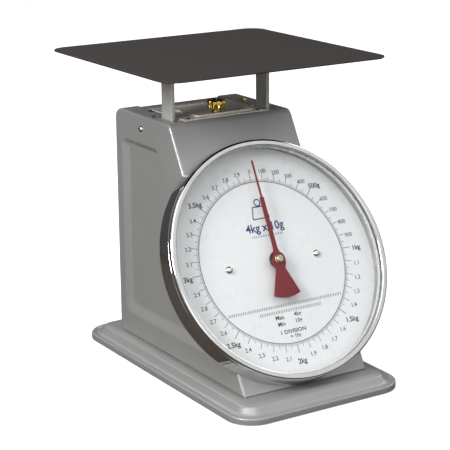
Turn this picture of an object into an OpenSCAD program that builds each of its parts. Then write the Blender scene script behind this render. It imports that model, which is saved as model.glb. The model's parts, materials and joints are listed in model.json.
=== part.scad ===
// Bench dial spring scale.
// Millimetres, +Z up, the dial faces -Y, the origin is on the ground under the middle of the base.

/* [Base] */
// Width of the base, side to side
base_w = 182; // [176:1:200]
// Depth of the base, front to back
base_d = 303; // [301:1:320]
// Radius of the base corners
base_r = 27; // [25:1:34]
// Height of the flat top of the base
base_h = 14; // [13:0.5:16]
// Thickness of the base sheet
base_t = 2.5; // [2:0.5:3]
// Height of the rubber feet below the base sheet's edge
foot_gap = 1; // [0.5:0.5:1.5]

/* [Housing] */
// Width of the housing
house_w = 136; // [130:1:140]
// Height of the top of the housing above the ground
house_h = 241.5; // [238:0.5:244]
// Distance of the front bottom edge in front of the origin
house_front = 119; // [116:1:122]
// Distance of the back behind the origin
house_back = 111; // [109:1:114]
// Lean of the front and the dial from the vertical, degrees
lean = 28.94; // [28:0.02:30]
// Thickness of the housing sheet
sheet = 1.2; // [1:0.1:1.5]
// Radius of the housing's back top bend
bend_r = 10; // [8:1:11]
// Radius of the housing's front top bend
front_bend_r = 8.5; // [6:0.5:8.5]
// Depth of the pressed panel in each side
press_depth = 4; // [2:0.1:4.5]

/* [Dial] */
// Distance of the dial centre up the front from its bottom edge
dial_up = 116.3; // [114:0.1:118]
// Outer radius of the bezel at its front
bezel_r = 113.85; // [112:0.05:114]
// How much wider the bezel is at its back
bezel_flare = 1.8; // [1.6:0.1:3]
// Distance of the bezel's front rim from the front panel
bezel_depth = 20.1; // [19.5:0.1:21]
// Radius of the opening in the bezel
bezel_open_r = 107.8; // [106:0.1:108.5]
// Height of the pointer above the front panel
pointer_w = 10.4; // [9.5:0.1:10.8]
// Angle of the pointer clockwise of zero before the zero knob is trimmed
pointer_zero = 1; // [0:0.5:2]

/* [Platform] */
// Width of the tray, side to side
tray_w = 240; // [230:1:246]
// Depth of the tray, front to back
tray_d = 228; // [220:1:234]
// Thickness of the tray
tray_t = 1.5; // [1:0.1:2]
// Radius of the tray's corners
tray_r = 17; // [14:1:20]
// Height of the top of the tray above the ground
tray_top = 298.8; // [297:0.1:300]
// Distance of the posts, the springs and the knob behind the origin
post_y = 33; // [32:0.5:34]
// Width of a post, front to back
post_d = 19; // [16:0.5:20]
// Thickness of a post
post_t = 4; // [3.5:0.1:4.2]
// Distance of a post's outer face from the middle
post_x = 54.9; // [54.5:0.1:55.2]
// Downward travel of the platform for one turn of the pointer
travel = 16.5; // [16.4:0.1:16.5]

/* [Movement] */
// Teeth of the pinion
pinion_teeth = 16; // [16:1:16]
// Pitch radius of the pinion
pinion_r = 3; // [3:0.1:3]
// Radius of the pointer shaft
shaft_r = 1.5; // [1.4:0.1:1.6]
// Running clearance between a pin and its bore, on the radius
fit = 0.05; // [0.03:0.01:0.08]
// Length of the parallel links between pivots
link_l = 63; // [63:0.1:63]
// Outer radius of the zero knob
knob_r = 9.2; // [9:0.1:10]

/* [Hidden] */
$fn = 48;
big = 200;

run = tan(lean);
front_y = -house_front;
top_front_y = front_y + (house_h - base_h) * run;
half_w = house_w / 2;
dial_y = front_y + dial_up * sin(lean);
dial_z = base_h + dial_up * cos(lean);

foot_x = 62;
foot_y = 122;

deck_z = house_h - sheet;
slot_x0 = 48;
slot_x1 = 58.5;
slot_y0 = 16;
slot_y1 = 46;
rim_x = 47;
rim_y = 13.6;
lip_t = 0.8;
lip_front = 11.9;
lip_back = 14.6;
deck_back = 90;
rim_screw = [61.4, 45];
back_screw = [-50.5, 71];
plug = [55, 70];
deck_screw = [39, 19.5];

bezel_t = 0.8;
lip_r = 2.6;
can_in_r = bezel_open_r + 2.5;
can_r = can_in_r + 1.1;
can_back_r = bezel_r + 0.4;
can_front = 11.4;
can_t = 1.2;
dial_face = 2.2;
lens_back = 16.4;
lens_front = 18.2;
screw_x = 48.5;

// Right half of the pointer's outline, from the tail to the tip
pointer_side = concat(arc(0, 0, 36.4, -90, -66.5, 4), [[5.2, -9], [7.7, -3.4], [7.4, -0.5],
    [4.6, 5], [2.5, 10], [2.3, 14], [2.2, 60], [0.9, 60.6], [0.8, 96]]);

module_size = 2 * pinion_r / pinion_teeth;
tooth_pitch = PI * module_size;
rack_w = -19.5;
plate_front = -5;
plate_rear = -29;
plate_t = 2;
pin_y = -50;
pin_z = 80;
pin_r = 1.5;
rack_slide = travel * tan(lean);

link_rear_y = 96;
link_tilt = asin(travel / 2 / link_l);
upper_z = 190;
lower_z = 60;
stud_r = 2;
eye_r = stud_r + 0.6;
stud_y = link_rear_y - link_l * (1 + cos(link_tilt)) / 2;

post_top = tray_top - tray_t - 3;
post_bottom = 58;
tray_bolt_x = 62;
tray_bolt_y = 46;
yoke_z = 84;
yoke_h = 8;
spring_x = 22;
spring_r = 5.5;
wire_r = 1;
hanger_z = 190;
eye_out = 4.6;
eye_ring_r = 3;
spring_low = yoke_z + yoke_h + eye_out + 1 + spring_r;
spring_high = hanger_z - eye_out - 1 - spring_r;
spring_turns = round((spring_high - spring_low) / (2 * wire_r));
spring_step = (spring_high - spring_low) / spring_turns;
knob_z = 245;
knob_h = 9;
knob_lobes = 8;
screw_r = 2;
arm_z = 222;

steel = [0.62, 0.62, 0.6];
paint = [0.56, 0.56, 0.54];
dark = [0.25, 0.24, 0.23];
bright = [0.82, 0.83, 0.85];
brass = [0.78, 0.62, 0.28];
red = [0.62, 0.16, 0.2];
black = [0.08, 0.08, 0.08];

// ---------- helpers ----------

// Points of an arc from angle a0 to a1
function arc(cx, cy, r, a0, a1, n = 8) =
    [for (i = [0:n]) let (a = a0 + (a1 - a0) * i / n) [cx + r * cos(a), cy + r * sin(a)]];

// Rectangle with round corners, centred
module round_rect(w, d, r) {
    square([w - 2 * r, d], center = true);
    square([w, d - 2 * r], center = true);
    for (sx = [-1, 1], sy = [-1, 1])
        translate([sx * (w / 2 - r), sy * (d / 2 - r)]) circle(r);
}

// A shape drawn in (y, z) and extruded from x0 to x1
module along_x(x0, x1) translate([x0, 0, 0]) rotate([90, 0, 90]) linear_extrude(x1 - x0) children();

// Frame of the dial: x to the right, y up the slope, z out of the dial
module dial_frame() translate([0, dial_y, dial_z]) rotate([90 - lean, 0, 0]) children();

// Mirrored copies on both sides
module both_sides() {
    children();
    mirror([1, 0, 0]) children();
}

// A cylinder from height z0 to z1
module rod(r, z0, z1) translate([0, 0, z0]) cylinder(r = r, h = z1 - z0);

// A ring from height z0 to z1
module ring(r_out, r_in, z0, z1) difference() {
    rod(r_out, z0, z1);
    rod(r_in, z0 - 1, z1 + 1);
}

// A domed screw head standing on z = 0, with its shank below
module dome_screw(head_r, head_h, shank_r, shank_l) {
    sphere_r = (head_r * head_r + head_h * head_h) / (2 * head_h);
    intersection() {
        translate([0, 0, head_h - sphere_r]) sphere(sphere_r);
        rod(head_r, 0, head_h + 1);
    }
    rod(shank_r, -shank_l, 0.01);
}

// ---------- housing outline in (y, z) ----------

// Front face at height z, moved t inwards
function face_y(z, t) = front_y + (z - base_h) * run + t / cos(lean);

// Side outline of the housing moved t inwards, its foot left on the base
function outline(t) = let (
    top = house_h - t,
    back = house_back - t,
    r = bend_r - t,
    fr = front_bend_r - t,
    corner_y = face_y(top, t) + fr * tan((90 - lean) / 2)
) concat(
    [[face_y(base_h, t), base_h], [back, base_h]],
    arc(back - r, top - r, r, 0, 90),
    arc(corner_y, top - fr, fr, 90, 180 - lean)
);

// Band of sheet between two offsets of the outline
module band(t0, t1) difference() {
    polygon(outline(t0));
    polygon(outline(t1));
}

// Pressed panel of a side, shrunk by t, in (y, z)
function press_outline(t) = let (
    back = 98 - t,
    low = 37 + t,
    high = 214 - t,
    front_low = front_y + (low - base_h) * run + (34 + t) / cos(lean),
    front_high = front_y + (high - base_h) * run + (34 + t) / cos(lean),
    r = 9
) concat(
    arc(front_low + r * 1.35, low + r, r, 180 + 62, 270, 4),
    arc(back - r, low + r, r, -90, 0, 4),
    arc(back - r, high - r, r, 0, 90, 4),
    [[front_high, high]]
);

// ---------- base ----------

// The base's edge profile: x inwards is negative, y is height
module base_profile() polygon(concat(
    [[-base_r, base_h], [-base_r, base_h - base_t], [-17, base_h - base_t], [-9, 4.6],
     [-3, 3.2], [-2, foot_gap], [0, foot_gap], [0, 5]],
    arc(-2, 5, 2, 0, 110, 6),
    [[-4, 6.3]],
    arc(-17, base_h - 12, 12, 25, 90, 6)
));

module base_plate() color(paint) difference() {
    union() {
        for (sx = [0, 1], sy = [0, 1]) mirror([sx, 0, 0]) mirror([0, sy, 0])
            translate([base_w / 2 - base_r, base_d / 2 - base_r, 0])
                rotate_extrude(angle = 90) translate([base_r, 0]) base_profile();
        for (s = [0, 1]) mirror([s, 0, 0])
            translate([base_w / 2, base_d / 2 - base_r, 0]) rotate([90, 0, 0])
                linear_extrude(base_d - 2 * base_r) base_profile();
        for (s = [0, 1]) mirror([0, s, 0])
            translate([-base_w / 2 + base_r, base_d / 2, 0]) rotate([90, 0, 90])
                linear_extrude(base_w - 2 * base_r) base_profile();
        translate([base_r - base_w / 2, base_r - base_d / 2, base_h - base_t])
            cube([base_w - 2 * base_r, base_d - 2 * base_r, base_t]);
    }
    base_screw_places() rod(2.2, 0, base_h + 1);
}

module base_screw_places() for (x = [-60, 60], y = [-70, 95]) translate([x, y, 0]) children();

module base_screws() color(steel) base_screw_places() {
    rod(4, base_h - base_t - 2.5, base_h - base_t);
    rod(2, base_h - base_t, base_h + 6);
}

module rubber_feet() color(black) for (x = [-foot_x, foot_x], y = [-foot_y, foot_y])
    translate([x, y, 0]) cylinder(r1 = 8.5, r2 = 9.5, h = base_h - base_t);

// ---------- housing ----------

module post_slot() translate([(slot_x0 + slot_x1) / 2, (slot_y0 + slot_y1) / 2])
    round_rect(slot_x1 - slot_x0, slot_y1 - slot_y0, 3);

// Left side sheet: wall with its pressed panel, rims along the top, back and front, and a foot
module side_panel(corner_hole) color(paint) difference() {
    union() {
        along_x(-half_w, -half_w + sheet) polygon(outline(0));
        pressing(sheet);
        along_x(-half_w + sheet - 0.01, -rim_x) intersection() {
            band(0, sheet);
            translate([rim_y, base_h]) square([big, big * 2]);
        }
        along_x(-half_w + sheet - 0.01, -half_w + 9) intersection() {
            band(sheet, 2 * sheet);
            translate([-big, base_h]) square([big - 5, big]);
        }
        translate([-half_w + sheet - 0.01, -105, base_h]) cube([13, 214, sheet]);
    }
    pressing(0);
    mirror([1, 0, 0]) translate([0, 0, deck_z - 1]) linear_extrude(5) post_slot();
    side_screw_place() rod(1.6, -6, 4);
    through_deck([-rim_screw[0], rim_screw[1]], 1.2);
    through_deck(corner_hole, 1.6);
    base_screw_places() rod(2.2, base_h - 1, base_h + 5);
}

// Tapered pan of the pressed side panel, grown outwards by the sheet where t is given
module pressing(t) hull() {
    along_x(-half_w - 0.01 + t, -half_w + t) polygon(press_outline(-t));
    along_x(-half_w + press_depth - 0.01 + t, -half_w + press_depth + t)
        polygon(press_outline(8 - t));
}

module side_panel_left() side_panel(back_screw);

module side_panel_right() mirror([1, 0, 0]) side_panel([-plug[0], plug[1]]);

// Front sheet between the sides, its top edge bent back under the lip of the deck
module front_panel() color(paint) difference() {
    along_x(-half_w + sheet, half_w - sheet) intersection() {
        band(0, sheet);
        translate([-big, base_h]) square([big + rim_y - 0.1, big * 2]);
    }
    dial_frame() {
        rod(6, -5, 5);
        dial_screw_places() rod(1.6, -5, 5);
        pillar_places() rod(1.6, -5, 5);
    }
}

module back_cover() color(paint) difference() {
    along_x(-half_w + sheet, half_w - sheet) intersection() {
        band(sheet, 2 * sheet);
        translate([deck_back, base_h]) square([big, big * 2]);
    }
    back_screw_places() rod(1.6, -6, 6);
}

module through_deck(place, r) translate([place[0], place[1], 0]) rod(r, deck_z - 6, house_h + 5);

// Deck, lapped under the rims of the sides, its front edge raised in a lip over the front sheet
module top_plate() color(dark) difference() {
    union() {
        along_x(sheet - half_w, half_w - sheet)
            translate([lip_back - lip_t, deck_z - sheet]) square([deck_back - lip_back + lip_t, sheet]);
        along_x(0.1 - rim_x, rim_x - 0.1) {
            translate([lip_back - lip_t, deck_z - sheet]) square([lip_t, 2 * sheet + lip_t]);
            translate([lip_front, house_h]) square([lip_back - lip_front, lip_t]);
        }
    }
    both_sides() {
        translate([0, 0, deck_z - 5]) linear_extrude(10) post_slot();
        through_deck(rim_screw, 1.2);
        through_deck(deck_screw, 1.2);
    }
    through_deck(back_screw, 1.6);
    through_deck(plug, 1.6);
    translate([0, post_y, 0]) rod(4.6, deck_z - 5, deck_z + 5);
}

// Reinforcing plate round the zero knob, with a raised bead
module adjuster_plate() color(dark) translate([0, 0, deck_z]) difference() {
    union() {
        translate([0, 48.5, 0]) linear_extrude(1) round_rect(88, 67, 3);
        translate([5, 51, 0.99]) linear_extrude(1.01) difference() {
            round_rect(66, 54, 4);
            round_rect(62, 50, 2);
        }
    }
    translate([0, post_y, 0]) rod(4.6, -1, 5);
    both_sides() translate([deck_screw[0], deck_screw[1], 0]) rod(1.2, -1, 5);
}

module seal_plug() color(brass) translate([plug[0], plug[1], 0]) {
    rod(3.4, house_h, house_h + 0.6);
    ring(2.7, 1.3, house_h + 0.59, house_h + 1.5);
    rod(1.55, deck_z - 3, house_h + 0.1);
}

module top_screws() color(steel) {
    both_sides() {
        translate([rim_screw[0], rim_screw[1], house_h]) dome_screw(2.4, 1.4, 1.15, 6);
        translate([deck_screw[0], deck_screw[1], deck_z + 1]) dome_screw(2.4, 1.4, 1.15, 6);
    }
    translate([back_screw[0], back_screw[1], house_h]) dome_screw(2.6, 1.4, 1.55, 6);
}

module side_screw_place() translate([-half_w, 59.4, 228.3]) rotate([0, -90, 0]) children();

module side_screws() color(bright) both_sides() side_screw_place() dome_screw(3.4, 2.4, 1.6, 5);

module back_screw_places() for (x = [-42, 42], z = [36, 108, 200])
    translate([x, house_back - sheet, z]) rotate([-90, 0, 0]) children();

module back_screws() color(bright) back_screw_places() dome_screw(3.4, 2.4, 1.6, 5);

// ---------- dial ----------

module dial_screw_places() for (s = [-1, 1]) translate([s * screw_x, 0, 0]) children();

module dial_can() color(paint) dial_frame() difference() {
    union() {
        rod(can_back_r, 0, can_t);
        ring(can_r, can_in_r, can_t - 0.01, can_front);
    }
    rod(6, -1, 5);
    dial_screw_places() rod(1.6, -1, 5);
}

module dial_plate() color("white") dial_frame() difference() {
    rod(can_in_r, can_t, dial_face);
    rod(4, 0, 5);
    dial_screw_places() rod(1.6, -1, 5);
}

module dial_screws() color(bright) dial_frame() dial_screw_places()
    translate([0, 0, dial_face]) dome_screw(4.1, 3, 1.6, 5);

// Bright ring between the can and the lens
module spacer_ring() color(bright) dial_frame()
    ring(can_r, bezel_open_r, can_front, lens_back - 0.8);

module lens_gasket() color(black) dial_frame()
    ring(can_r, bezel_open_r + 1, lens_back - 0.8, lens_back);

module lens() color([0.8, 0.9, 0.95, 0.35]) dial_frame() rod(can_r, lens_back, lens_front);

// Rolled sheet: skirt, front lip and a return that clamps the lens
module bezel() color(bright) dial_frame() rotate_extrude($fn = 128) polygon(concat(
    [[bezel_r + bezel_flare, 0], [bezel_r, bezel_depth - lip_r]],
    arc(bezel_r - lip_r, bezel_depth - lip_r, lip_r, 0, 90, 8),
    arc(bezel_open_r + 1.2, bezel_depth - 1.2, 1.2, 90, 180, 4),
    [[bezel_open_r, lens_front], [bezel_open_r + bezel_t, lens_front],
     [bezel_open_r + bezel_t, bezel_depth - bezel_t - 0.6]],
    arc(bezel_r - lip_r, bezel_depth - lip_r, lip_r - bezel_t, 90, 0, 6),
    [[bezel_r + bezel_flare - bezel_t, 0]]
));

// ---------- inner frame ----------

module main_frame() color(steel) difference() {
    union() {
        translate([-32, 102, base_h + sheet]) cube([64, 4, arm_z + 4 - base_h - sheet]);
        translate([-32, 66, base_h]) cube([64, 40, 4]);
        translate([-20, 18, arm_z]) cube([40, 88, 4]);
        for (x = [-32, 28], z = [lower_z, upper_z])
            translate([x, 90, z - 6]) cube([4, 14, 12]);
    }
    for (z = [lower_z, upper_z]) link_pin_hole(z, stud_r);
    translate([0, post_y, 0]) rod(screw_r + 0.8, arm_z - 1, arm_z + 5);
}

module link_pin_hole(z, r) translate([-big / 2, link_rear_y, z]) rotate([0, 90, 0])
    cylinder(r = r, h = big);

module link_pins() color(bright) for (z = [lower_z, upper_z])
    translate([-47, link_rear_y, z]) rotate([0, 90, 0]) cylinder(r = stud_r, h = 94);

module thrust_bush() color(brass) translate([0, post_y, 0])
    ring(4.2, screw_r + 0.8, arm_z + 4, knob_z - 0.2);

// A link drawn level, then tilted to its unloaded angle about its rear pin
module link(z) color(steel) translate([0, link_rear_y, z]) rotate([-link_tilt, 0, 0])
    difference() {
        union() {
            for (x = [-45, 42]) {
                translate([x, -link_l, -5]) cube([3, link_l, 10]);
                for (y = [-link_l, 0])
                    translate([x, y, 0]) rotate([0, 90, 0]) cylinder(r = 5, h = 3);
            }
            translate([-45, -26, -4]) cube([90, 4, 8]);
        }
        translate([-big / 2, 0, 0]) rotate([0, 90, 0]) cylinder(r = stud_r + fit, h = big);
        translate([-big / 2, -link_l, 0]) rotate([0, 90, 0]) cylinder(r = eye_r, h = big);
    }

module upper_link() link(upper_z);

module lower_link() link(lower_z);

// ---------- movement behind the dial ----------

module pillar_places() for (x = [-12, 20], y = [-12, 12]) translate([x, y, 0]) children();

module movement_plate(w, bore_r) color(brass) dial_frame() difference() {
    translate([4, 0, w - plate_t]) linear_extrude(plate_t) round_rect(40, 32, 4);
    rod(bore_r, w - 5, w + 5);
    pillar_places() rod(1.5, w - 5, w + 5);
}

module front_movement_plate() movement_plate(plate_front, 3);

module rear_movement_plate() movement_plate(plate_rear, 3);

module movement_pillars() color(steel) dial_frame() pillar_places() {
    rod(1.5, plate_rear - plate_t, -0.1);
    rod(2.6, plate_rear, plate_front - plate_t);
    rod(2.6, plate_front, -sheet);
}

module bush(w) color(brass) dial_frame() difference() {
    union() {
        rod(3, w - plate_t, w);
        rod(4.2, w, w + 1);
    }
    rod(shaft_r + fit, w - 5, w + 5);
}

module front_bush() bush(plate_front);

module rear_bush() bush(plate_rear);

// Channel that keeps the rack against the pinion
module rack_guide() color(brass) dial_frame() for (y0 = [-12, 6])
    translate([0, y0 + 6, 0]) rotate([90, 0, 0]) linear_extrude(6) polygon([
        [7.3, rack_w - 2.3], [4.6, rack_w - 2.3], [4.6, rack_w - 4.5], [9.8, rack_w - 4.5],
        [9.8, plate_front - plate_t], [7.3, plate_front - plate_t],
        [7.3, rack_w + 4.5], [4.6, rack_w + 4.5], [4.6, rack_w + 2.3], [7.3, rack_w + 2.3]
    ]);

// Tooth of the pinion: half angles at root, pitch and tip circles
module pinion_outline() {
    circle(pinion_r - 1.3 * module_size);
    for (i = [0:pinion_teeth - 1]) rotate(i * 360 / pinion_teeth) polygon([
        [0, -0.4], [2.55, -0.32], [3, -0.26], [3.35, -0.12], [3.35, 0.12], [3, 0.26],
        [2.55, 0.32], [0, 0.4]
    ]);
}

module pinion() color(brass) dial_frame() translate([0, 0, rack_w - 3]) difference() {
    linear_extrude(6) pinion_outline();
    rod(shaft_r - 0.01, -1, 7);
}

module pinion_shaft() color(bright) dial_frame() rod(shaft_r, plate_rear - plate_t - 1, 14.5);

// Toothed bar that slides down the slope, with the slotted head that the drive pin pushes
module rack() color(brass) {
    dial_frame() {
        translate([3.55, -33, rack_w - 2]) cube([3.45, 57, 4]);
        for (i = [-4:19]) translate([0, (i + 0.5) * tooth_pitch, rack_w - 2]) linear_extrude(4)
            polygon([[3.6, -0.44], [2.65, -0.13], [2.65, 0.13], [3.6, 0.44]]);
    }
    difference() {
        translate([4, pin_y - 13, pin_z - 4]) cube([2, 27, 8]);
        hull() for (y = [pin_y, pin_y + rack_slide + 1])
            translate([3, y, pin_z]) rotate([0, 90, 0]) cylinder(r = pin_r + 0.1, h = 4);
    }
}

module drive_pin() color(bright) translate([3, pin_y, pin_z]) rotate([0, 90, 0])
    cylinder(r = pin_r, h = 10);

module drive_arm() color(steel) difference() {
    translate([9.5, pin_y - 5, pin_z - 5]) cube([3.5, post_y - pin_y + 8, 9]);
    translate([0, pin_y, pin_z]) rotate([0, 90, 0]) cylinder(r = pin_r - 0.01, h = 20);
}

// ---------- pointer ----------

module pointer_hub() color(black) dial_frame() ring(8.2, shaft_r - 0.01, pointer_w - 2, pointer_w);

module pointer() color(red) dial_frame() rotate([0, 0, -pointer_zero])
    translate([0, 0, pointer_w]) difference() {
        linear_extrude(0.8) polygon(concat(pointer_side,
            [for (i = [len(pointer_side) - 1:-1:1]) [-pointer_side[i][0], pointer_side[i][1]]]));
        rod(shaft_r - 0.01, -1, 2);
    }

module pointer_cap() color(brass) dial_frame() difference() {
    union() {
        rod(3.4, pointer_w + 0.8, pointer_w + 4.2);
        translate([0, 0, pointer_w + 4.2]) cylinder(r1 = 3.4, r2 = 2.6, h = 0.8);
    }
    rod(shaft_r, pointer_w, 14.5);
}

// ---------- platform ----------

module tray() color(dark) translate([0, post_y - 1.2, tray_top - tray_t]) linear_extrude(tray_t)
    round_rect(tray_w, tray_d, tray_r);

module tray_bolt_places() for (x = [-tray_bolt_x, tray_bolt_x], y = [-tray_bolt_y, tray_bolt_y])
    translate([x, post_y + y, 0]) children();

module tray_support() color(steel) translate([0, 0, post_top]) difference() {
    linear_extrude(3) {
        translate([0, post_y]) square([2 * post_x, 24], center = true);
        for (s = [-1, 1]) translate([s * tray_bolt_x, post_y]) {
            square([18, 2 * tray_bolt_y], center = true);
            for (y = [-tray_bolt_y, tray_bolt_y]) translate([0, y]) circle(9);
        }
    }
    tray_bolt_places() rod(2.2, -1, 4);
}

module tray_nuts() color(bright) tray_bolt_places() {
    translate([0, 0, post_top - 3]) cylinder(r = 4.2, h = 3, $fn = 6);
    rod(2, post_top - 4, post_top + 3);
}

module post() color(paint) translate([post_x - post_t, post_y - post_d / 2, post_bottom])
    difference() {
        cube([post_t, post_d, post_top - post_bottom]);
        for (z = [lower_z, upper_z])
            translate([-1, stud_y - post_y + post_d / 2, z + travel / 2 - post_bottom])
                rotate([0, 90, 0]) cylinder(r = stud_r, h = 10);
    }

module post_right() post();

module post_left() mirror([1, 0, 0]) post();

module post_studs() color(bright) both_sides() for (z = [lower_z, upper_z])
    translate([41, stud_y, z + travel / 2]) rotate([0, 90, 0])
        cylinder(r = stud_r, h = post_x - 41);

module yoke() color(steel) translate([post_t - post_x, post_y - 6, yoke_z])
    cube([2 * (post_x - post_t), 12, yoke_h]);

// ---------- springs and zero adjustment ----------

// Ring that a spring's loop hooks through
module eye_ring() rotate([90, 0, 0]) rotate_extrude() translate([eye_ring_r, 0]) circle(0.9);

module spring_eyes() color(bright) both_sides() translate([spring_x, post_y, 0]) {
    rod(1.5, yoke_z + yoke_h, yoke_z + yoke_h + 2);
    translate([0, 0, yoke_z + yoke_h + eye_out]) eye_ring();
}

// Close-coiled body with a half loop through the eye at each end
module spring() color(steel) translate([spring_x, post_y, 0]) {
    rotate_extrude() for (i = [0:spring_turns])
        translate([spring_r, spring_low + spring_step * i]) circle(wire_r + 0.12, $fn = 16);
    for (end = [[spring_low, 180], [spring_high, 0]]) translate([0, 0, end[0]])
        rotate([90, end[1], 90]) rotate_extrude(angle = 180) translate([spring_r, 0])
            circle(wire_r, $fn = 16);
}

module spring_right() spring();

module spring_left() mirror([1, 0, 0]) spring();

module spring_hanger() color(steel) difference() {
    union() {
        translate([-30, post_y - 6, hanger_z]) cube([60, 12, 6]);
        both_sides() translate([spring_x, post_y, 0]) {
            translate([0, 0, hanger_z - eye_out]) eye_ring();
            rod(1.5, hanger_z - 2, hanger_z + 0.1);
        }
    }
    translate([0, post_y, 0]) rod(screw_r, hanger_z - 1, hanger_z + 10);
}

module zero_screw() color(bright) translate([0, post_y, 0])
    rod(screw_r, hanger_z, knob_z + knob_h + 0.8);

module zero_knob() color(brass) translate([0, post_y, knob_z]) difference() {
    union() {
        rod(knob_r, 1.2, knob_h - 1.2);
        cylinder(r1 = knob_r - 1.2, r2 = knob_r, h = 1.2);
        translate([0, 0, knob_h - 1.2]) cylinder(r1 = knob_r, r2 = knob_r - 1.2, h = 1.2);
    }
    for (i = [0:knob_lobes - 1]) rotate((i + 0.5) * 360 / knob_lobes)
        translate([knob_r + 1.2, 0, 0]) rod(2.4, -1, knob_h + 1);
    rod(screw_r + fit, -1, knob_h + 1);
    rod(5, knob_h - 1.5, knob_h + 1);
}

base_plate();
rubber_feet();
base_screws();
side_panel_left();
side_panel_right();
front_panel();
back_cover();
top_plate();
adjuster_plate();
seal_plug();
top_screws();
side_screws();
back_screws();
dial_can();
dial_plate();
dial_screws();
spacer_ring();
lens_gasket();
lens();
bezel();
main_frame();
link_pins();
thrust_bush();
front_movement_plate();
rear_movement_plate();
movement_pillars();
front_bush();
rear_bush();
rack_guide();
tray();
tray_support();
tray_nuts();
post_left();
post_right();
yoke();
post_studs();
drive_arm();
drive_pin();
spring_eyes();
rack();
pinion_shaft();
pinion();
pointer_hub();
pointer();
pointer_cap();
upper_link();
lower_link();
zero_knob();
zero_screw();
spring_hanger();
spring_left();
spring_right();
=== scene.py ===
"""Looks of the bench dial spring scale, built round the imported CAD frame.

The row frame is in metres, +Z up, the dial faces -Y. Shapes below are drawn in millimetres, either in the
row frame or in the dial's own frame (x right, y up the dial, z out of it), and are scaled when made.
"""
import json
import math

import bmesh
import bpy
from mathutils import Matrix, Vector


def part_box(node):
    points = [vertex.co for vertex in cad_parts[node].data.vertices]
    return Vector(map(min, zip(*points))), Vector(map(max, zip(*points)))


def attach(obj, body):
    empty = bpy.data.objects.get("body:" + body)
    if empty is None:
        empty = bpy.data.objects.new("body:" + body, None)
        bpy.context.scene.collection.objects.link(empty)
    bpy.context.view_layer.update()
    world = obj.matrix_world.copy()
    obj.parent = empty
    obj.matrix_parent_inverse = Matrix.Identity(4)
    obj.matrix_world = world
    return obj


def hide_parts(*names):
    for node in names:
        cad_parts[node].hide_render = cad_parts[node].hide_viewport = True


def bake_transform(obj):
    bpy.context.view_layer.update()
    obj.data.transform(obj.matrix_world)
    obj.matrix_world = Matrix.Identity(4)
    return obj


MM = 0.001

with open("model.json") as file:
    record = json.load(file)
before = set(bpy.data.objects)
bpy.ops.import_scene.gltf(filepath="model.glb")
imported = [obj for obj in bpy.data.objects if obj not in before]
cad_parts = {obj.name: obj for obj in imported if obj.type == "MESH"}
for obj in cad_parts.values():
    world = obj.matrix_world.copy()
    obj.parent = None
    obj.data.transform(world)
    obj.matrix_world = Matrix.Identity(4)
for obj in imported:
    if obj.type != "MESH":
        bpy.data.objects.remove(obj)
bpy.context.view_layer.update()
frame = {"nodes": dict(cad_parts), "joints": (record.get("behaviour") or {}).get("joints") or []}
nodes = frame["nodes"]


# ---------------------------------------------------------------- places taken from the frame

def joint(name):
    """Row of a joint in the record."""
    return next(j for j in frame["joints"] if j["name"] == name)


def box_mm(node):
    """Lowest and highest corner of a CAD node, in mm."""
    low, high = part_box(node)
    return low / MM, high / MM


RIGHT = Vector((1, 0, 0))
OUT = -Vector(joint("pointer_spin")["axis"]).normalized()
UP = OUT.cross(RIGHT)
ROW = Matrix.Scale(MM, 4)
DIAL = (
    Matrix.Translation(joint("pointer_spin")["pos_m"])
    @ Matrix((RIGHT, UP, OUT)).transposed().to_4x4()
    @ ROW
)
LEAN = math.atan2(OUT.z, -OUT.y)


def dial_span(node):
    """Lowest and highest distance out of the dial of a CAD node, in mm."""
    to_dial = DIAL.inverted()
    heights = [(to_dial @ v.co).z for v in nodes[node].data.vertices]
    return min(heights), max(heights)


def dial_radius(node):
    """Largest distance of a CAD node from the dial's axis, in mm."""
    to_dial = DIAL.inverted()
    return max((to_dial @ v.co).xy.length for v in nodes[node].data.vertices)


def dial_bore(node):
    """Smallest distance of a CAD node from the dial's axis, in mm."""
    to_dial = DIAL.inverted()
    return min((to_dial @ v.co).xy.length for v in nodes[node].data.vertices)


# ---------------------------------------------------------------- camera, lights and floor

CAMERA_AT = Vector((-0.7698, -1.2101, 0.5360))
CAMERA_AZIMUTH = math.radians(-32.05)
CAMERA_ELEVATION = math.radians(15.54)
CAMERA_ROLL = math.radians(-0.56)
CAMERA_LENS = 124.8

# Brightness of the room: rises from ROOM_DARK behind the object to ROOM_FRONT in front of it, and overhead
# by up to ROOM_TOP. ROOM_BACK and ROOM_HIGH are the direction parts at which the two start to rise.
ROOM_BACK = 0.3
ROOM_DARK = 0.07
ROOM_FRONT = 0.85
ROOM_HIGH = 0.3
ROOM_TOP = 0.4

FLOOR_RADIUS = 2.2
FLOOR_GLOW = 0.55
FLOOR_SEEN = (0.9, 0.9, 0.9)
FLOOR_BOUNCE = (0.06, 0.052, 0.045)

# Name, place, point aimed at, width, height (m) and power (W) of each area light
LIGHTS = (
    ("key", (-1.3, -0.4, 0.95), (0, 0.05, 0.3), 0.5, 0.6, 22),
    ("front", (-0.6, -1.9, 0.75), (0, 0, 0.2), 0.8, 0.8, 2.5),
    ("top", (-0.7, -1.2, 2.4), (0, 0, 0.15), 1.6, 1.3, 16),
    ("right", (2.0, 0.1, 1.3), (0, 0, 0.15), 0.9, 1.2, 10),
    ("back", (-0.3, 1.7, 2.0), (0, 0, 0.15), 1.0, 0.8, 9),
)


def add_camera():
    data = bpy.data.cameras.new("camera")
    data.lens = CAMERA_LENS
    data.sensor_width = 36
    data.clip_end = 50
    camera = bpy.data.objects.new("camera", data)
    turn = (
        Matrix.Rotation(CAMERA_AZIMUTH, 4, "Z")
        @ Matrix.Rotation(math.radians(90) - CAMERA_ELEVATION, 4, "X")
        @ Matrix.Rotation(CAMERA_ROLL, 4, "Z")
    )
    camera.matrix_world = Matrix.Translation(CAMERA_AT) @ turn
    bpy.context.scene.collection.objects.link(camera)
    bpy.context.scene.camera = camera


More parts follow.
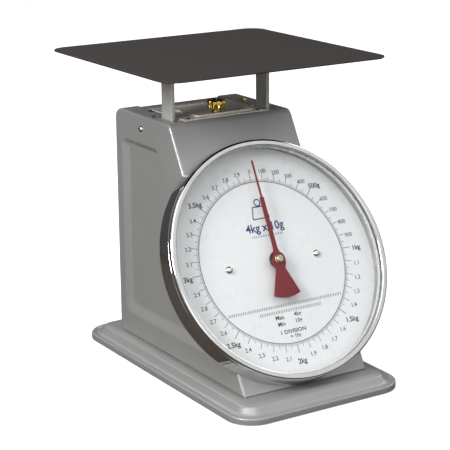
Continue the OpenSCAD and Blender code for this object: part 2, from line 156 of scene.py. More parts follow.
def add_area(name, at, aim, width, height, power):
    data = bpy.data.lights.new(name, "AREA")
    data.shape = "RECTANGLE"
    data.size = width
    data.size_y = height
    data.energy = power
    light = bpy.data.objects.new(name, data)
    light.location = at
    light.rotation_euler = (Vector(aim) - Vector(at)).to_track_quat("-Z", "Y").to_euler()
    bpy.context.scene.collection.objects.link(light)


def add_world():
    """White behind the object, and a studio that darkens towards the back for light and reflections."""
    world = bpy.data.worlds.new("studio")
    bpy.context.scene.world = world
    world.use_nodes = True
    tree = world.node_tree
    room = tree.nodes["Background"]
    place = tree.nodes.new("ShaderNodeTexCoord")
    split = tree.nodes.new("ShaderNodeSeparateXYZ")
    tree.links.new(place.outputs["Generated"], split.inputs[0])
    forward = tree.nodes.new("ShaderNodeMapRange")
    forward.inputs["From Min"].default_value = ROOM_BACK
    forward.inputs["From Max"].default_value = -1
    forward.inputs["To Min"].default_value = ROOM_DARK
    forward.inputs["To Max"].default_value = ROOM_FRONT
    tree.links.new(split.outputs["Y"], forward.inputs["Value"])
    upward = tree.nodes.new("ShaderNodeMapRange")
    upward.inputs["From Min"].default_value = ROOM_HIGH
    upward.inputs["From Max"].default_value = 1.0
    upward.inputs["To Min"].default_value = 0.0
    upward.inputs["To Max"].default_value = ROOM_TOP
    tree.links.new(split.outputs["Z"], upward.inputs["Value"])
    total = tree.nodes.new("ShaderNodeMath")
    total.operation = "ADD"
    tree.links.new(forward.outputs["Result"], total.inputs[0])
    tree.links.new(upward.outputs["Result"], total.inputs[1])
    tree.links.new(total.outputs[0], room.inputs["Strength"])
    room.inputs["Color"].default_value = (0.98, 0.99, 1, 1)
    white = tree.nodes.new("ShaderNodeBackground")
    white.inputs["Color"].default_value = (1, 1, 1, 1)
    white.inputs["Strength"].default_value = 1.0
    seen = tree.nodes.new("ShaderNodeLightPath")
    mix = tree.nodes.new("ShaderNodeMixShader")
    tree.links.new(seen.outputs["Is Camera Ray"], mix.inputs[0])
    tree.links.new(room.outputs[0], mix.inputs[1])
    tree.links.new(white.outputs[0], mix.inputs[2])
    tree.links.new(mix.outputs[0], tree.nodes["World Output"].inputs["Surface"])


def add_floor():
    """Pale floor, bright to the eye and darker in light and reflections."""
    bpy.ops.mesh.primitive_circle_add(vertices=96, radius=FLOOR_RADIUS, fill_type="NGON")
    floor = bpy.context.object
    floor.name = "floor"
    mat = bpy.data.materials.new("floor")
    mat.use_nodes = True
    tree = mat.node_tree
    shader = tree.nodes["Principled BSDF"]
    shader.inputs["Roughness"].default_value = 0.9
    shader.inputs["Specular IOR Level"].default_value = 0.1
    shader.inputs["Emission Color"].default_value = (1, 1, 1, 1)
    seen = tree.nodes.new("ShaderNodeLightPath").outputs["Is Camera Ray"]
    glow = tree.nodes.new("ShaderNodeMath")
    glow.operation = "MULTIPLY"
    glow.inputs[1].default_value = FLOOR_GLOW
    tree.links.new(seen, glow.inputs[0])
    tree.links.new(glow.outputs[0], shader.inputs["Emission Strength"])
    tone = tree.nodes.new("ShaderNodeMix")
    tone.data_type = "RGBA"
    tone.inputs["A"].default_value = (*FLOOR_BOUNCE, 1)
    tone.inputs["B"].default_value = (*FLOOR_SEEN, 1)
    tree.links.new(seen, tone.inputs["Factor"])
    tree.links.new(tone.outputs["Result"], shader.inputs["Base Color"])
    floor.data.materials.append(mat)


add_camera()
add_world()
add_floor()
for light_row in LIGHTS:
    add_area(*light_row)
bpy.context.scene.view_settings.view_transform = "Standard"


# ---------------------------------------------------------------- materials

class Shader:
    """A material with a Principled shader and helpers for procedural inputs."""

    def __init__(self, name, colour, **values):
        self.mat = bpy.data.materials.new(name)
        self.mat.use_nodes = True
        self.tree = self.mat.node_tree
        self.bsdf = self.tree.nodes["Principled BSDF"]
        self.bsdf.inputs["Base Color"].default_value = (*colour, 1)
        for key, value in values.items():
            self.bsdf.inputs[key.replace("_", " ").title()].default_value = value
        self.coords = self.tree.nodes.new("ShaderNodeTexCoord").outputs["Object"]

    def noise(self, scale, detail=3.0, stretch=None):
        node = self.tree.nodes.new("ShaderNodeTexNoise")
        node.inputs["Scale"].default_value = scale
        node.inputs["Detail"].default_value = detail
        source = self.coords
        if stretch:
            mapping = self.tree.nodes.new("ShaderNodeMapping")
            mapping.inputs["Scale"].default_value = stretch
            self.tree.links.new(self.coords, mapping.inputs["Vector"])
            source = mapping.outputs["Vector"]
        self.tree.links.new(source, node.inputs["Vector"])
        return node.outputs["Fac"]

    def cells(self, scale):
        """Distance from the middle of rounded cells."""
        node = self.tree.nodes.new("ShaderNodeTexVoronoi")
        node.inputs["Scale"].default_value = scale
        self.tree.links.new(self.coords, node.inputs["Vector"])
        return node.outputs["Distance"]

    def ramp(self, fac, low, high, start=0.3, end=0.7):
        """Colours or values from low to high as fac goes from start to end."""
        node = self.tree.nodes.new("ShaderNodeValToRGB")
        for element, place, value in zip(node.color_ramp.elements, (start, end), (low, high)):
            element.position = place
            element.color = (*value, 1) if isinstance(value, tuple) else (value, value, value, 1)
        self.tree.links.new(fac, node.inputs["Fac"])
        return node.outputs["Color"]

    def mix(self, fac, a, b):
        """Colour a turning into colour b as fac goes from 0 to 1."""
        node = self.tree.nodes.new("ShaderNodeMix")
        node.data_type = "RGBA"
        for socket, value in ((node.inputs["Factor"], fac), (node.inputs["A"], a), (node.inputs["B"], b)):
            if isinstance(value, bpy.types.NodeSocket):
                self.tree.links.new(value, socket)
            elif isinstance(value, tuple):
                socket.default_value = (*value, 1)
            else:
                socket.default_value = value
        return node.outputs["Result"]

    def drive(self, socket, value):
        self.tree.links.new(value, self.bsdf.inputs[socket])

    def bump(self, height, distance, strength):
        """Adds height to the bumps the surface already has."""
        node = self.tree.nodes.new("ShaderNodeBump")
        node.inputs["Distance"].default_value = distance
        node.inputs["Strength"].default_value = strength
        previous = self.bsdf.inputs["Normal"].links
        if previous:
            self.tree.links.new(previous[0].from_socket, node.inputs["Normal"])
        self.tree.links.new(height, node.inputs["Height"])
        self.tree.links.new(node.outputs["Normal"], self.bsdf.inputs["Normal"])


def hammered(name, light, shade, roughness=0.4, metallic=0.3, flake=0.1):
    """Metallic hammertone enamel: flakes in the colour, dimples in the surface."""
    s = Shader(name, light, metallic=metallic, coat_weight=0.15, coat_roughness=0.25)
    broad = s.ramp(s.noise(14, 2), light, shade, 0.35, 0.75)
    dark = tuple(c * (1 - flake) for c in light)
    bright = tuple(min(1, c * (1 + flake)) for c in light)
    s.drive("Base Color", s.mix(0.5, broad, s.ramp(s.noise(1900, 2), dark, bright, 0.35, 0.65)))
    s.drive("Roughness", s.ramp(s.noise(420, 3), roughness - 0.07, roughness + 0.09))
    s.bump(s.cells(650), 0.00006, 0.5)
    s.bump(s.noise(160, 2), 0.0001, 0.2)
    return s.mat


def enamel(name, colour, roughness=0.35, metallic=0.0, grain=900, depth=0.00003, spread=0.12, sheen=0.5):
    """Smooth paint, print, rubber or satin metal with a fine grain in colour and surface."""
    s = Shader(name, colour, metallic=metallic)
    s.bsdf.inputs["Specular IOR Level"].default_value = sheen
    tone = s.noise(grain, 4)
    s.drive("Base Color", s.ramp(tone, tuple(c * (1 - spread) for c in colour),
                                 tuple(min(1, c * (1 + spread)) for c in colour)))
    s.drive("Roughness", s.ramp(s.noise(grain / 9, 3), roughness - 0.06, roughness + 0.08))
    s.bump(s.noise(grain, 3), depth, 0.6)
    return s.mat


def metal(name, colour, roughness, scratch=0.05, stretch=(40, 1500, 1500), depth=0.00001):
    """Plated, turned or brushed metal with fine marks."""
    s = Shader(name, colour, metallic=1.0)
    marks = s.noise(1, 3, stretch)
    s.drive("Roughness", s.ramp(marks, max(0.02, roughness - scratch), roughness + scratch))
    s.drive("Base Color", s.ramp(s.noise(60, 3), tuple(c * 0.9 for c in colour), colour))
    s.bump(marks, depth, 0.3)
    return s.mat


PAINT = hammered("hammered_paint", (0.37, 0.369, 0.363), (0.32, 0.32, 0.317), 0.37, 0.35)
# The housing's paint made darker for the base: painted shade, since the base is the same paint as the
# housing.
SHADE_DARKENED_BASE_PAINT = hammered("base_paint_painted_shade", (0.32, 0.319, 0.314), (0.275, 0.275, 0.272), 0.38, 0.3)
# The housing's paint made lighter for the posts: painted light against the shade under the tray.
LIGHTENED_POST_PAINT = hammered("post_paint_painted_light", (0.50, 0.495, 0.48), (0.45, 0.445, 0.43), 0.4, 0.2)
# Deck paint far lighter than the deck's own dark brown-grey: painted light against the shade the tray casts
# on it.
LIGHTENED_DECK_PAINT = hammered("deck_paint_painted_light", (0.85, 0.80, 0.72), (0.72, 0.68, 0.61), 0.3, 0.3, 0.12)
TRAY = enamel("tray_enamel", (0.031, 0.026, 0.025), 0.62, 0.0, 1500, 0.00003, 0.2, 0.25)
WHITE = enamel("dial_enamel", (0.785, 0.789, 0.793), 0.3, 0.0, 700, 0.000004, 0.01)
RED = enamel("pointer_enamel", (0.19, 0.020, 0.026), 0.4, 0.0, 700, 0.00001, 0.08)
BLACK = enamel("black_enamel", (0.012, 0.012, 0.012), 0.4, 0.0, 900, 0.00001, 0.2)
INK = enamel("dial_ink", (0.035, 0.035, 0.04), 0.5, 0.0, 900, 0.000002, 0.1)
BLUE_INK = enamel("blue_ink", (0.03, 0.065, 0.20), 0.5, 0.0, 900, 0.000002, 0.1)
GREY_INK = enamel("grey_ink", (0.20, 0.20, 0.21), 0.5, 0.0, 900, 0.000002, 0.1)
CHROME = metal("chrome", (0.84, 0.83, 0.83), 0.07, 0.03, (200, 200, 200), 0.000002)
SATIN = enamel("satin_ring", (0.70, 0.69, 0.69), 0.26, 0.4, 900, 0.000005, 0.03)
ZINC = metal("zinc_plate", (0.68, 0.69, 0.70), 0.22, 0.08, (300, 300, 300))
STEEL = metal("sheet_steel", (0.50, 0.50, 0.49), 0.34, 0.1)
SPRING = metal("spring_steel", (0.30, 0.30, 0.31), 0.3, 0.08, (300, 300, 300))
BRASS = metal("turned_brass", (0.72, 0.47, 0.13), 0.2, 0.08, (90, 90, 1800), 0.00002)
# Brass darkened for the thrust bush: painted shade for the dark gap under the thumb nut.
SHADE_DARKENED_BRASS = metal("shade_darkened_brass", (0.28, 0.19, 0.08), 0.4, 0.08, (300, 300, 300))
CAP_BRASS = metal("pale_brass", (0.75, 0.66, 0.46), 0.25, 0.06, (300, 300, 300))
RUBBER = enamel("rubber", (0.015, 0.015, 0.015), 0.75, 0.0, 900, 0.00003, 0.2)


def clear_lens():
    """Thin clear cover: seen through, and it mirrors only at a glancing angle, the same from both faces."""
    mat = bpy.data.materials.new("clear_lens")
    mat.use_nodes = True
    tree = mat.node_tree
    tree.nodes.remove(tree.nodes["Principled BSDF"])
    through = tree.nodes.new("ShaderNodeBsdfTransparent")
    through.inputs["Color"].default_value = (0.985, 0.99, 0.99, 1)
    shine = tree.nodes.new("ShaderNodeBsdfGlossy")
    shine.inputs["Roughness"].default_value = 0.03
    facing = tree.nodes.new("ShaderNodeLayerWeight")
    facing.inputs["Blend"].default_value = 0.5
    edge = tree.nodes.new("ShaderNodeMath")
    edge.operation = "POWER"
    edge.inputs[1].default_value = 5
    tree.links.new(facing.outputs["Facing"], edge.inputs[0])
    mix = tree.nodes.new("ShaderNodeMixShader")
    tree.links.new(edge.outputs[0], mix.inputs[0])
    tree.links.new(through.outputs[0], mix.inputs[1])
    tree.links.new(shine.outputs[0], mix.inputs[2])
    tree.links.new(mix.outputs[0], tree.nodes["Material Output"].inputs["Surface"])
    return mat


LENS = clear_lens()


# ---------------------------------------------------------------- mesh helpers

def rounded(points, steps=6, closed=True):
    """Polyline through points (x, y, radius) with each corner rounded to its radius."""
    result = []
    count = len(points)
    for i, (x, y, radius) in enumerate(points):
        here = Vector((x, y))
        if radius <= 0 or (not closed and i in (0, count - 1)):
            result.append(here)
            continue
        before = (Vector(points[i - 1][:2]) - here).normalized()
        after = (Vector(points[(i + 1) % count][:2]) - here).normalized()
        half = before.angle(after) / 2
        centre = here + (before + after).normalized() * (radius / math.sin(half))
        start = here + before * (radius / math.tan(half)) - centre
        end = here + after * (radius / math.tan(half)) - centre
        turn = start.angle_signed(end)
        for k in range(steps + 1):
            result.append(centre + Matrix.Rotation(-turn * k / steps, 2) @ start)
    return result


def loft(loops, close_loops=True, cap_first=False, cap_last=False, ring=False):
    """Vertices and quads between loops of the same length; ring joins the last loop to the first."""
    count = len(loops[0])
    verts = [tuple(p) for loop in loops for p in loop]
    faces = []
    pairs = len(loops) if ring else len(loops) - 1
    for a in range(pairs):
        b = (a + 1) % len(loops)
        for i in range(count if close_loops else count - 1):
            j = (i + 1) % count
            faces.append((a * count + i, a * count + j, b * count + j, b * count + i))
    if cap_first:
        faces.append(tuple(range(count)))
    if cap_last:
        faces.append(tuple((len(loops) - 1) * count + i for i in range(count)))
    return verts, faces


def merged(*parts):
    """Several (verts, faces) as one."""
    verts, faces = [], []
    for part_verts, part_faces in parts:
        base = len(verts)
        verts += list(part_verts)
        faces += [tuple(base + i for i in face) for face in part_faces]
    return verts, faces


def piece(name, shape, body, material, stands_for=(), place=ROW, sharp=35):
    """A new visible piece from (verts, faces) in mm, riding on a CAD body."""
    verts, faces = shape
    mesh = bpy.data.meshes.new(name)
    mesh.from_pydata([place @ Vector(v) for v in verts], [], faces)
    bm = bmesh.new()
    bm.from_mesh(mesh)
    bmesh.ops.remove_doubles(bm, verts=bm.verts, dist=1e-6)
    bmesh.ops.recalc_face_normals(bm, faces=bm.faces)
    bm.to_mesh(mesh)
    bm.free()
    mesh.materials.append(material)
    mesh.shade_smooth()
    mesh.set_sharp_from_angle(angle=math.radians(sharp))
    obj = bpy.data.objects.new(name, mesh)
    bpy.context.scene.collection.objects.link(obj)
    if body:
        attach(obj, body)
    if stands_for:
        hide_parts(*stands_for)
    return obj


def thicken(obj, thickness, edge):
    """Gives a sheet its thickness inwards, in mm, and rounds its cut edges."""
    solid = obj.modifiers.new("sheet", "SOLIDIFY")
    solid.thickness = thickness * MM
    solid.offset = -1
    solid.use_even_offset = True
    round_edges(obj, edge, 40)


def round_edges(obj, width, angle):
    """Rounds the edges sharper than angle, in degrees, to a width in mm."""
    bevel = obj.modifiers.new("edges", "BEVEL")
    bevel.width = width * MM
    bevel.segments = 2
    bevel.limit_method = "ANGLE"
    bevel.angle_limit = math.radians(angle)
    bevel.harden_normals = True


def turned(profile, steps=160, at=(0, 0)):
    """Solid of revolution about z from a closed (r, z) profile."""
    loops = []
    for k in range(steps):
        a = 2 * math.pi * k / steps
        loops.append([(at[0] + r * math.cos(a), at[1] + r * math.sin(a), z) for r, z in profile])
    return loft(loops, ring=True)


def tube(points, radius, sides=8):
    """Round tube along points, with a frame carried along the path."""
    loops = []
    tangent = (points[1] - points[0]).normalized()
    side = tangent.orthogonal().normalized()
    for i, p in enumerate(points):
        following = points[min(i + 1, len(points) - 1)] - points[max(i - 1, 0)]
        tangent = following.normalized()
        side = (side - tangent * side.dot(tangent)).normalized()
        up = tangent.cross(side)
        loops.append([p + (side * math.cos(a) + up * math.sin(a)) * radius
                      for a in (2 * math.pi * k / sides for k in range(sides))])
    return loft(loops, cap_first=True, cap_last=True)


def finish_node(name, material, edge):
    """Gives a CAD node its material, and rounds its cut edges unless edge is 0."""
    obj = nodes[name]
    obj.data.materials.clear()
    obj.data.materials.append(material)
    if edge:
        weld = obj.modifiers.new("weld", "WELD")
        weld.merge_threshold = 1e-6
        round_edges(obj, edge, 35)


# ---------------------------------------------------------------- base

def round_rect_loop(half_x, half_y, radius, z, centre=(0, 0)):
    """Loop round a rectangle with rounded corners at height z."""
    corners = rounded([(half_x, half_y, radius), (-half_x, half_y, radius),
                       (-half_x, -half_y, radius), (half_x, -half_y, radius)], 10)
    return [(centre[0] + p.x, centre[1] + p.y, z) for p in corners]


def build_base():
    """Wide pressed base: rolled foot, bead round the edge and a raised flat middle."""
    low, high = box_mm("base_plate")
    half_x, half_y, top = high.x, high.y, high.z
    edge = low.z
    corner = 27
    least_corner = 1.5
    sheet = 2.5
    upper = rounded([(0, edge, 0), (0, 7.1, 1.9), (3.2, 7.1, 1.6), (4.6, 5.4, 1.4), (8.5, 6.6, 6),
                     (13.5, top - 1.2, 4), (19, top, 8), (25, top, 0)], 6, closed=False)
    under = rounded([(25, top - sheet, 0), (17, top - sheet, 5), (10, 4.2, 4), (3, 3.4, 1),
                     (2, edge, 0)], 4, closed=False)
    loops = [round_rect_loop(half_x - p.x, half_y - p.x, max(corner - p.x, least_corner), p.y)
             for p in upper]
    below = [round_rect_loop(half_x - p.x, half_y - p.x, max(corner - p.x, least_corner), p.y)
             for p in under]
    top_plate = loft(loops, cap_last=True)
    bottom_plate = loft(below, cap_first=True)
    rim = loft([below[-1], loops[0]])
    # The base uses the darkened copy of the housing paint, which is painted shade.
    piece("base", merged(top_plate, bottom_plate, rim), "root", SHADE_DARKENED_BASE_PAINT, ["base_plate"])


# ---------------------------------------------------------------- housing

SHEET = 1.2            # thickness of the sheets
CUT_EDGE = 0.25        # rounding of their cut edges
BEND = 2.6             # bend between a side and its rims
TOP_BEND = 10          # bend at the back of the top
FRONT_BEND = 8.5       # bend at the front of the top
PRESS_DEPTH = 4.0      # depth of the sides' pressed panels
RIM_X = 47             # how near the middle plane the sides' rims reach
LIP_Y = 13.6           # where the front sheet ends on the top
SLOT_X = 58.5          # outer end of the posts' slots
SLOT_Y = (16, 46)      # front and back of the posts' slots
CUT = 0.05             # half the width of a step in the rims

wall_low, wall_high = box_mm("side_panel_left")
FRONT, BACK = wall_low.y, wall_high.y
FOOT, TOP = wall_low.z, wall_high.z
SIDE = -wall_low.x


def face_y(z, inset=0.0):
    """Where the leaning front is at height z, moved inwards by inset."""
    return FRONT + (z - FOOT) * math.tan(LEAN) + inset / math.cos(LEAN)


def quad_corners(back, low, high, front_inset, radii):
    """Front-bottom, back-bottom, back-top and front-top corners in (y, z), with radii."""
    ya, yd = face_y(low, front_inset), face_y(high, front_inset)
    return [(ya, low, radii[0]), (back, low, radii[1]), (back, high, radii[2]), (yd, high, radii[3])]


def edge_steps():
    """Fractions along the top edge, from back to front, where the rim's reach changes.

    The stops at 75 and 31 only split its long straight stretches.
    """
    start = BACK - TOP_BEND
    end = face_y(TOP) + FRONT_BEND * math.tan((math.pi / 2 - LEAN) / 2)
    stops = [start - CUT, 75, SLOT_Y[1] + CUT, SLOT_Y[1] - CUT, 31, SLOT_Y[0] + CUT, SLOT_Y[0] - CUT,
             LIP_Y + CUT, LIP_Y - CUT, end + CUT]
    return [(start - y) / (start - end) for y in stops]


EDGE_STEPS = edge_steps()


def quad_loop(corners):
    """Closed loop round four rounded corners with extra points along the edges."""
    steps = 6
    curve = rounded(corners, steps)
    arc = steps + 1
    loop = []
    for c in range(4):
        bend = curve[c * arc:(c + 1) * arc]
        following = curve[((c + 1) % 4) * arc]
        loop += bend
        loop += [bend[-1].lerp(following, s) for s in EDGE_STEPS]
    return loop


def housing_corners(inset):
    """Outline of the housing seen from the side, moved inwards by inset."""
    return quad_corners(BACK - inset, FOOT + inset, TOP - inset, inset,
                        (1.0, max(6 - inset, 1), TOP_BEND - inset, FRONT_BEND - inset))


def pressing_corners(s):
    """Outline of the pressed panel from its outer edge (s 0) to its floor (s 1)."""
    back = 98 - 9 * s
    foot = 37 + 10 * s
    top = 214 - 5 * s
    front_inset = 34 + 6 * s
    return quad_corners(back, foot, top, front_inset, (9, 9, 7 - 2 * s, 4 - s))


def rim_reach(point):
    """How far in from the side the housing's rim reaches at this point of the outline."""
    if point.x < LIP_Y:
        return SIDE - BEND
    if SLOT_Y[0] < point.x < SLOT_Y[1] and point.y > TOP - 1:
        return SLOT_X
    return RIM_X


def build_side(name, sign):
    """Side sheet from its pressed panel outwards, over the bends and into its rims."""
    loops = []
    slope_steps = 10
    for k in range(slope_steps + 1):
        t = 1.15 - 1.3 * k / slope_steps
        s = min(max(t, 0), 1)
        depth = PRESS_DEPTH * (0.8 * s + 0.2 * (3 * s * s - 2 * s ** 3))
        loops.append([(sign * (SIDE - depth), p.x, p.y) for p in quad_loop(pressing_corners(t))])
    bend_steps = 6
    for k in range(bend_steps + 1):
        a = math.radians(90) * k / bend_steps
        inset = BEND * (1 - math.sin(a))
        x = SIDE - BEND * (1 - math.cos(a))
        loops.append([(sign * x, p.x, p.y) for p in quad_loop(housing_corners(inset))])
    outline = quad_loop(housing_corners(0))
    loops.append([(sign * rim_reach(p), p.x, p.y) for p in outline])
    shape = loft(loops, cap_first=True)
    obj = piece(name, shape, "root", PAINT, [name], sharp=50)
    thicken(obj, SHEET, CUT_EDGE)


def build_front():
    """Leaning front sheet, bent over at the top and turned in a little at its foot."""
    steps = 10
    corners = [(face_y(FOOT), FOOT, 0), (face_y(TOP), TOP, FRONT_BEND), (BACK, TOP, 0)]
    curve = rounded(corners, steps, closed=False)[:steps + 2] + [Vector((LIP_Y, TOP))]
    foot = curve[0] + (curve[1] - curve[0]).normalized() * 1.5
    curve[0] = curve[0] + Vector((1.2, 0.2))
    curve.insert(1, foot)
    wide = SIDE - BEND
    strips = 8
    sheet = loft([[(wide * (2 * k / strips - 1), p.x, p.y) for p in curve] for k in range(strips + 1)],
                 close_loops=False)
    obj = piece("front_sheet", sheet, "root", PAINT, ["front_panel"], sharp=50)
    thicken(obj, SHEET, CUT_EDGE)


# ---------------------------------------------------------------- dial

FLARE = 1.8                       # how much wider the bezel's skirt is at the back
RING = 77.4                       # radius of the printed circle
DIVISIONS = 400
HUNDREDS = 40
BOLD_LABEL = (93.5, 4.9, 0.16)    # radius, letter height and weight of every fifth label
PLAIN_LABEL = (89.8, 4.1, 0.05)
LABEL_SHIFT = (1.0, -2.1)         # the labels are printed a little off the dial's middle
PRINT_LIFT = 0.03                 # thickness of the print
CAP_HEIGHT = 0.73                 # height of a capital letter in a font of size 1


def build_bezel():
    """Rolled rim: flared skirt, round front lip and a return down to the clear cover."""
    low, high = dial_span("bezel")
    outer = dial_radius("bezel")
    lens_top = dial_span("lens")[1]
    opening = dial_bore("spacer_ring")
    rim = outer - FLARE
    profile = rounded([
        (outer, low, 0.5), (rim + 0.25, high - 5.4, 1.0), (rim - 0.25, high - 4.9, 0.6),
        (rim + 0.05, high - 3.4, 1.2), (rim + 0.05, high, 2.35), (opening, high, 1.4),
        (opening, lens_top, 0.1), (opening + 0.8, lens_top, 0.1), (opening + 0.8, high - 0.8, 0.5),
        (rim - 0.75, high - 0.8, 1.6), (rim - 1.0, high - 4.9, 0.5), (outer - 0.8, low, 0.2)], 6)
    piece("bezel_rim", turned(profile, 256), "root", CHROME, ["bezel"], DIAL, 50)


def build_dial():
    low, high = dial_span("dial_plate")
    radius = dial_radius("dial_plate")
    bevel = 0.1
    middle = 0.001
    disc = turned([(middle, low), (radius, low), (radius, high - bevel), (radius - bevel, high),
                   (middle, high)])
    piece("dial_face", disc, "root", WHITE, ["dial_plate"], DIAL)


def stroke(x0, y0, x1, y1, width, z):
    """Flat printed stroke from one point to another."""
    along = Vector((x1 - x0, y1 - y0)).normalized()
    side = Vector((-along.y, along.x)) * width / 2
    start, end = Vector((x0, y0)), Vector((x1, y1))
    base = [start + side, start - side, end - side, end + side]
    return loft([[(p.x, p.y, z) for p in base], [(p.x, p.y, z + PRINT_LIFT) for p in base]],
                cap_first=True, cap_last=True)


def tick_size(i):
    """Length and width of the i-th division mark."""
    if i == 0:
        return 8.0, 0.6
    if i % 50 == 0:
        return 10.0, 0.55
    if i % 10 == 0:
        return 8.2, 0.45
    if i % 5 == 0:
        return 4.8, 0.4
    return 2.6, 0.32


def printed_text(text, x, y, size, z, weight=0.0, wide=1.0):
    """Line of print centred on (x, y), size being its letter height in mm."""
    curve = bpy.data.curves.new("print", "FONT")
    curve.body = text
    curve.size = size / CAP_HEIGHT
    curve.offset = weight
    curve.extrude = PRINT_LIFT / 2
    curve.resolution_u = 3
    holder = bpy.data.objects.new("print", curve)
    bpy.context.scene.collection.objects.link(holder)
    mesh = bpy.data.meshes.new_from_object(holder.evaluated_get(bpy.context.evaluated_depsgraph_get()))
    middle_x = (min(v.co.x for v in mesh.vertices) + max(v.co.x for v in mesh.vertices)) / 2
    middle_y = (min(v.co.y for v in mesh.vertices) + max(v.co.y for v in mesh.vertices)) / 2
    verts = [(x + (v.co.x - middle_x) * wide, y + v.co.y - middle_y, z + v.co.z + PRINT_LIFT / 2)
             for v in mesh.vertices]
    faces = [tuple(p.vertices) for p in mesh.polygons]
    bpy.data.objects.remove(holder)
    bpy.data.curves.remove(curve)
    bpy.data.meshes.remove(mesh)
    return verts, faces


def hundred_label(i):
    """Print at the i-th hundred grams of the dial."""
    if i == 0:
        return "0"
    if i % 5 == 0:
        return "500g" if i == 5 else f"{i / 10:g}kg"
    return f"{i * 100}" if i < 10 else f"{i / 10:.1f}"


def hatch(x0, x1, y, height, z, gap=1.9):
    """Band of short slanted strokes, in place of a line of words."""
    count = round((x1 - x0) / gap)
    return merged(*[stroke(x0 + gap * i, y - height / 2, x0 + gap * i + 0.6, y + height / 2, 0.55, z)
                    for i in range(count + 1)])


def build_print():
    """Divisions, numbers and words, with hatching and a plain drawing of a weight."""
    face = dial_span("dial_plate")[1]
    parts = []
    for i in range(DIVISIONS):
        a = 2 * math.pi * i / DIVISIONS
        length, width = tick_size(i)
        parts.append(stroke(RING * math.sin(a), RING * math.cos(a),
                            (RING + length) * math.sin(a), (RING + length) * math.cos(a), width, face))
    for i in range(HUNDREDS):
        a = 2 * math.pi * i / HUNDREDS
        bold = i % 5 == 0 and i > 0
        radius, size, weight = BOLD_LABEL if bold else PLAIN_LABEL
        parts.append(printed_text(hundred_label(i), radius * math.sin(a) + LABEL_SHIFT[0],
                                  radius * math.cos(a) + LABEL_SHIFT[1], size, face, weight))
    piece("dial_scale_print", merged(*parts), "root", INK, (), DIAL)
    ring = turned([(RING - 0.4, face), (RING + 0.4, face), (RING + 0.4, face + PRINT_LIFT),
                   (RING - 0.4, face + PRINT_LIFT)], 256)
    piece("dial_circle_print", ring, "root", GREY_INK, (), DIAL)
    words = [printed_text("Max", -10, -52, 4.1, face, 0.1), printed_text("4kg", 9.5, -52, 4.1, face, 0.1),
             printed_text("Min", -10, -58.2, 4.1, face, 0.1), printed_text("10g", 9.5, -58.2, 4.1, face, 0.1),
             printed_text("1 DIVISION", 0.5, -66.2, 3.7, face, 0.1, 1.15),
             printed_text("= 10g", 1.5, -71.6, 3.7, face, 0.1),
             hatch(-62, 62, -41.6, 2.8, face), hatch(-30, 36, -47, 2.8, face)]
    piece("dial_words_print", merged(*words), "root", INK, (), DIAL)
    outline = [(-9, 42), (-6.5, 53.5), (6.5, 53.5), (9, 42)]
    edges = [stroke(*outline[k - 1], *outline[k], 1.1, face) for k in range(4)]
    handle = turned([(2.6, face), (3.8, face), (3.8, face + PRINT_LIFT), (2.6, face + PRINT_LIFT)], 48,
                    (0, 57.4))
    mark = [printed_text("4kg x 10g", 1, 32.6, 8.2, face, 0.26, 0.95), handle,
            hatch(-15, 17, 25.4, 2.0, face)]
    piece("dial_mark_print", merged(*mark, *edges), "root", BLUE_INK, (), DIAL)


def build_pointer():
    """Pointer with its flared tail, the cap nut on it and the collet under it."""
    low, high = dial_span("pointer")
    shoulder = 60
    zero = Matrix.Rotation(math.radians(-1), 4, "Z")
    half = rounded([(0, -36.4, 0), (7.5, -35.6, 20), (14.5, -33.4, 0.6), (5.2, -9, 2), (7.6, -3.2, 0.8),
                    (7.2, 0.4, 2), (3.5, 6.6, 2), (2.35, 11, 8), (2.2, shoulder, 0.3),
                    (0.95, shoulder + 0.5, 0.2), (0.8, 96, 0.2), (0, 96, 0)], 5, closed=False)
    right = [(p.x, p.y) for p in half]
    outline = right + [(-x, y) for x, y in reversed(right[1:-1])]
    chamfer = 0.18
    loops = []
    for z, scale in ((low, 1), (high - chamfer, 1), (high, 0.985)):
        loops.append([zero @ Vector((x * scale, y * scale if y < shoulder else y, z)) for x, y in outline])
    shape = loft(loops, cap_first=True, cap_last=True)
    piece("pointer_blade", shape, "pointer", RED, ["pointer"], DIAL, 30)
    cap_low, cap_high = dial_span("pointer_cap")
    cap = rounded([(1.5, cap_low, 0), (3.9, cap_low, 0.2), (3.9, cap_low + 0.9, 0.2),
                   (3.4, cap_low + 1.1, 0.2), (3.4, cap_high, 0.9), (0.9, cap_high, 0.2),
                   (0.7, cap_high - 0.5, 0.1), (0.01, cap_high - 0.5, 0)], 4)
    cap = [(p.x, p.y) for p in cap]
    piece("pointer_cap_nut", turned(cap, 48), "pointer", CAP_BRASS, ["pointer_cap"], DIAL, 40)
    hub_low, hub_high = dial_span("pointer_hub")
    hub = rounded([(1.5, hub_low, 0), (8.2, hub_low, 0.3), (8.2, hub_high, 0.5), (1.5, hub_high, 0)], 4)
    piece("pointer_collet", turned(hub, 64), "pointer", BLACK, ["pointer_hub"], DIAL, 40)


# ---------------------------------------------------------------- platform

def build_tray():
    """Flat plate with rounded corners and softened edges."""
    low, high = box_mm("tray")
    centre = ((low.x + high.x) / 2, (low.y + high.y) / 2)
    half_x, half_y = (high.x - low.x) / 2, (high.y - low.y) / 2
    corner = 17
    soft = 0.5
    loops = []
    for inset, z in ((0.4, low.z), (0, low.z + soft), (0, high.z - soft), (0.15, high.z - 0.15),
                     (soft, high.z), (3.0, high.z)):
        loops.append(round_rect_loop(half_x - inset, half_y - inset, corner - inset, z, centre))
    shape = loft(loops, cap_first=True, cap_last=True)
    piece("tray_plate", shape, "platform", TRAY, ["tray"], ROW, 50)


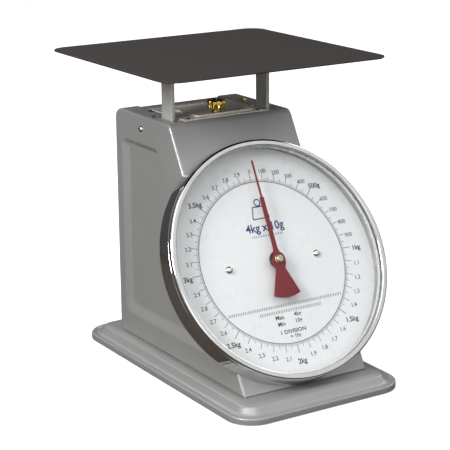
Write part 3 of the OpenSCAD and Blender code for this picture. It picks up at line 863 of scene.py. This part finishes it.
def build_knob():
    """Thumb nut with a fluted edge and a dished face round the screw."""
    low, high = box_mm("zero_knob")
    centre = ((low.x + high.x) / 2, (low.y + high.y) / 2)
    radius = (high.x - low.x) / 2
    tall = high.z - low.z
    flutes = 8
    flute_steps = 14
    depth = 1.5
    hole = 2.2
    profile = [(hole, 0), (radius * 0.86, 0), (radius * 0.95, 0.5), (radius, 1.5), (radius, tall - 2),
               (radius * 0.96, tall - 1), (radius * 0.86, tall - 0.3), (radius * 0.62, tall),
               (radius * 0.55, tall - 0.2), (radius * 0.5, tall - 1.2), (hole, tall - 1.2)]
    loops = []
    for r, z in profile:
        loop = []
        for k in range(flutes * flute_steps):
            a = 2 * math.pi * k / (flutes * flute_steps)
            dip = abs(math.sin(a * flutes / 2)) ** 3
            near = max(0, (r - radius * 0.6) / (radius * 0.4))
            rr = r - depth * dip * near
            loop.append((centre[0] + rr * math.cos(a), centre[1] + rr * math.sin(a), low.z + z))
        loops.append(loop)
    shape = loft(loops, ring=True)
    piece("zero_thumb_nut", shape, "zero_knob", BRASS, ["zero_knob"], ROW, 40)


def build_springs():
    """True close-coiled springs with a loop hooked in the eye at each end."""
    wire = 1.0           # radius of the wire
    play = 0.12          # how much further out the CAD coils reach
    turns = 36
    steps = 24           # points in a turn and in a loop
    slack = 0.8          # room in the upper loop for the hanger's travel
    for side in ("left", "right"):
        low, high = box_mm(f"spring_{side}")
        centre = (low + high) / 2
        radius = (high.x - low.x) / 2 - wire - play
        start, end = low.z + radius + wire, high.z - radius - wire
        rise = (end - start) / (turns * steps)
        points = []
        for k in range(steps + 1):
            a = math.pi * (1 - k / steps)
            points.append(Vector((0, radius * math.cos(a), start - radius * math.sin(a))))
        for k in range(1, turns * steps):
            a = math.pi / 2 + 2 * math.pi * k / steps
            points.append(Vector((radius * math.cos(a), radius * math.sin(a), start + rise * k)))
        for k in range(steps + 1):
            a = math.pi * k / steps
            points.append(Vector((0, radius * math.cos(a), end + (radius + slack) * math.sin(a))))
        points = [p + Vector((centre.x, centre.y, 0)) for p in points]
        obj = piece(f"weighing_spring_{side}", tube(points, wire), None, SPRING,
                    [f"spring_{side}"], ROW, 60)
        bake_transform(obj)


# ---------------------------------------------------------------- everything is made here

# Material, rounding of cut edges in mm, and the CAD nodes that keep their shape
FINISHES = (
    (PAINT, 0.2, ("back_cover", "dial_can")),
    # Posts: lightened copy of the housing paint, painted light.
    (LIGHTENED_POST_PAINT, 1.0, ("post_left", "post_right")),
    # Top plate and adjuster plate: lightened deck paint, painted light.
    (LIGHTENED_DECK_PAINT, 0.15, ("top_plate",)),
    (LIGHTENED_DECK_PAINT, 0.2, ("adjuster_plate",)),
    (CHROME, 0, ("side_screws", "dial_screws")),
    (SATIN, 0, ("spacer_ring",)),
    (LENS, 0, ("lens",)),
    (RUBBER, 0.3, ("rubber_feet",)),
    (RUBBER, 0, ("lens_gasket",)),
    (ZINC, 0, ("base_screws", "top_screws", "back_screws", "link_pins", "movement_pillars", "tray_nuts",
               "post_studs", "drive_pin", "spring_eyes", "pinion_shaft", "zero_screw")),
    (STEEL, 0.3, ("main_frame", "tray_support", "drive_arm", "upper_link", "lower_link", "spring_hanger")),
    (STEEL, 0.4, ("yoke",)),
    # Thrust bush: darkened brass, painted shade.
    (SHADE_DARKENED_BRASS, 0.2, ("thrust_bush",)),
    (BRASS, 0.15, ("seal_plug", "front_movement_plate", "rear_movement_plate")),
    (BRASS, 0.1, ("rack_guide",)),
    (BRASS, 0, ("front_bush", "rear_bush", "rack", "pinion")),
)

build_base()
build_side("side_panel_left", -1)
build_side("side_panel_right", 1)
build_front()
build_bezel()
build_dial()
build_print()
build_pointer()
build_tray()
build_knob()
build_springs()
for finish, edge_width, finished_nodes in FINISHES:
    for finished_node in finished_nodes:
        finish_node(finished_node, finish, edge_width)
